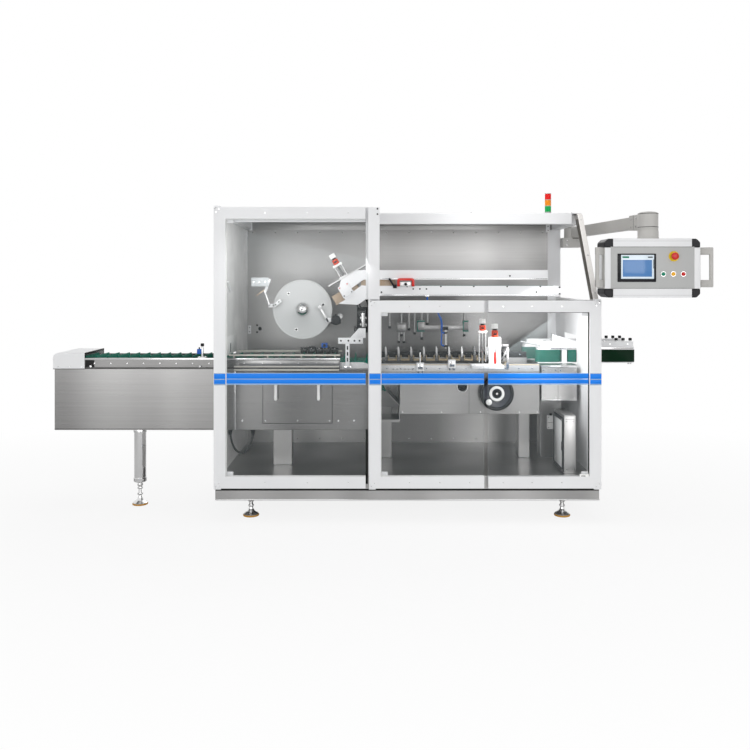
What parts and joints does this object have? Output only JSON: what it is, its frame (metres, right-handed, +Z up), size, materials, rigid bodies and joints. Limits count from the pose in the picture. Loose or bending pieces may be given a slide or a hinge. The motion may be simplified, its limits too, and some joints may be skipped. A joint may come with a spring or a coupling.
{
  "type": "automatic cartoner",
  "caption": "Horizontal automatic cartoner: stainless base and white frame with clear doors, cleated infeed belt, carton chain, magazine, grip-belt outfeed and swing-arm control panel",
  "frame": {"origin": "on the ground, under the middle of the machine's overall box", "axes": "X along the line from infeed to outfeed, Y from the doors to the back, Z up"},
  "size_m": [3.713, 1.2054, 1.908],
  "materials": {
    "stainless": "brushed stainless sheet with a soft shine",
    "white_paint": "smooth white powder coat",
    "bright_steel": "polished plated steel",
    "bare_aluminium": "satin anodised aluminium",
    "dark_steel": "dark blackened steel",
    "clear_pane": "clear polished sheet",
    "green_belt": "teal green belt, satin",
    "black_plastic": "black moulded plastic, fine grain",
    "amber_rubber": "amber rubber pad",
    "signal_red": "bright glossy plastic",
    "carton": "folded board, matt",
    "tan_plastic": "tan moulded plastic",
    "blue_plastic": "blue moulded plastic",
    "black_cable": "black flexible sheath"
  },
  "bodies": {
    "machine": {"base_frame": "stainless", "levelling_feet": "bright_steel", "foot_rubbers": "amber_rubber", "infeed_leg": "bright_steel", "infeed_body": "stainless", "infeed_hood": "white_paint", "side_rails": "stainless", "infeed_belt": "green_belt", "belt_bed": "bare_aluminium", "infeed_sensor": "black_plastic", "frame_posts": "white_paint", "frame_rails": "white_paint", "sloped_bar": "stainless", "door_pivots": "dark_steel", "back_wall": "stainless", "left_side_panel": "stainless", "right_side_panel": "white_paint", "roof_panel": "white_paint", "conveyor_housing": "stainless", "access_panel": "stainless", "access_handles": "white_paint", "support_columns": "stainless", "guide_rails": "white_paint", "machine_bed": "stainless", "chain_track": "bare_aluminium", "carton_chain": "dark_steel", "pocket_lugs": "stainless", "pocket_trays": "tan_plastic", "chain_guide": "dark_steel", "pusher_unit": "bare_aluminium", "magazine_plates": "white_paint", "magazine_bars": "bare_aluminium", "carton_stack": "carton", "magazine_clamp": "signal_red", "adjusters": "white_paint", "reel_spindle": "bright_steel", "dancer_arm": "bare_aluminium", "label_head": "white_paint", "reject_chute": "stainless", "outfeed_housing": "stainless", "grip_belts": "green_belt", "grip_rails": "bare_aluminium", "electrical_box": "stainless", "window_frame": "black_plastic", "signal_tower": "black_plastic", "signal_lenses": "signal_red", "arm_bracket": "bare_aluminium", "cable": "black_cable"},
    "left_door": {"left_door_frame": "white_paint", "left_door_glass": "clear_pane"},
    "middle_door": {"middle_door_frame": "white_paint", "middle_door_glass": "clear_pane"},
    "right_door": {"right_door_frame": "white_paint", "right_door_glass": "clear_pane"},
    "reel": {"reel_disc": "bare_aluminium"},
    "hand_wheel": {"handwheel": "black_plastic"},
    "arm": {"panel_arm": "bare_aluminium"},
    "panel": {"panel_box": "bare_aluminium", "panel_corners": "black_plastic", "panel_controls": "black_plastic"}
  },
  "joints": [
    {"name": "left_door_hinge", "type": "hinge", "parent": "machine", "child": "left_door", "pos_m": [-0.86347, -0.39279, 0.981], "axis": [0, 0, -1], "range_deg": [0, 100]},
    {"name": "middle_door_hinge", "type": "hinge", "parent": "machine", "child": "middle_door", "pos_m": [0.00953, -0.39279, 0.718], "axis": [0, 0, -1], "range_deg": [0, 100]},
    {"name": "right_door_hinge", "type": "hinge", "parent": "machine", "child": "right_door", "pos_m": [1.30053, -0.39279, 0.718], "axis": [0, 0, 1], "range_deg": [0, 100]},
    {"name": "reel_spin", "type": "hinge", "parent": "machine", "child": "reel", "pos_m": [-0.41147, 0.01971, 1.181], "axis": [0, 1, 0], "continuous": true},
    {"name": "handwheel_spin", "type": "hinge", "parent": "machine", "child": "hand_wheel", "pos_m": [0.74953, -0.21029, 0.696], "axis": [0, 1, 0], "continuous": true},
    {"name": "arm_swing", "type": "hinge", "parent": "machine", "child": "arm", "pos_m": [1.38353, 0.54671, 1.685], "axis": [0, 0, 1], "range_deg": [0, 90]},
    {"name": "panel_turn", "type": "hinge", "parent": "arm", "child": "panel", "pos_m": [1.53947, -0.49671, 1.66], "axis": [0, 0, 1], "range_deg": [0, 90]}
  ]
}
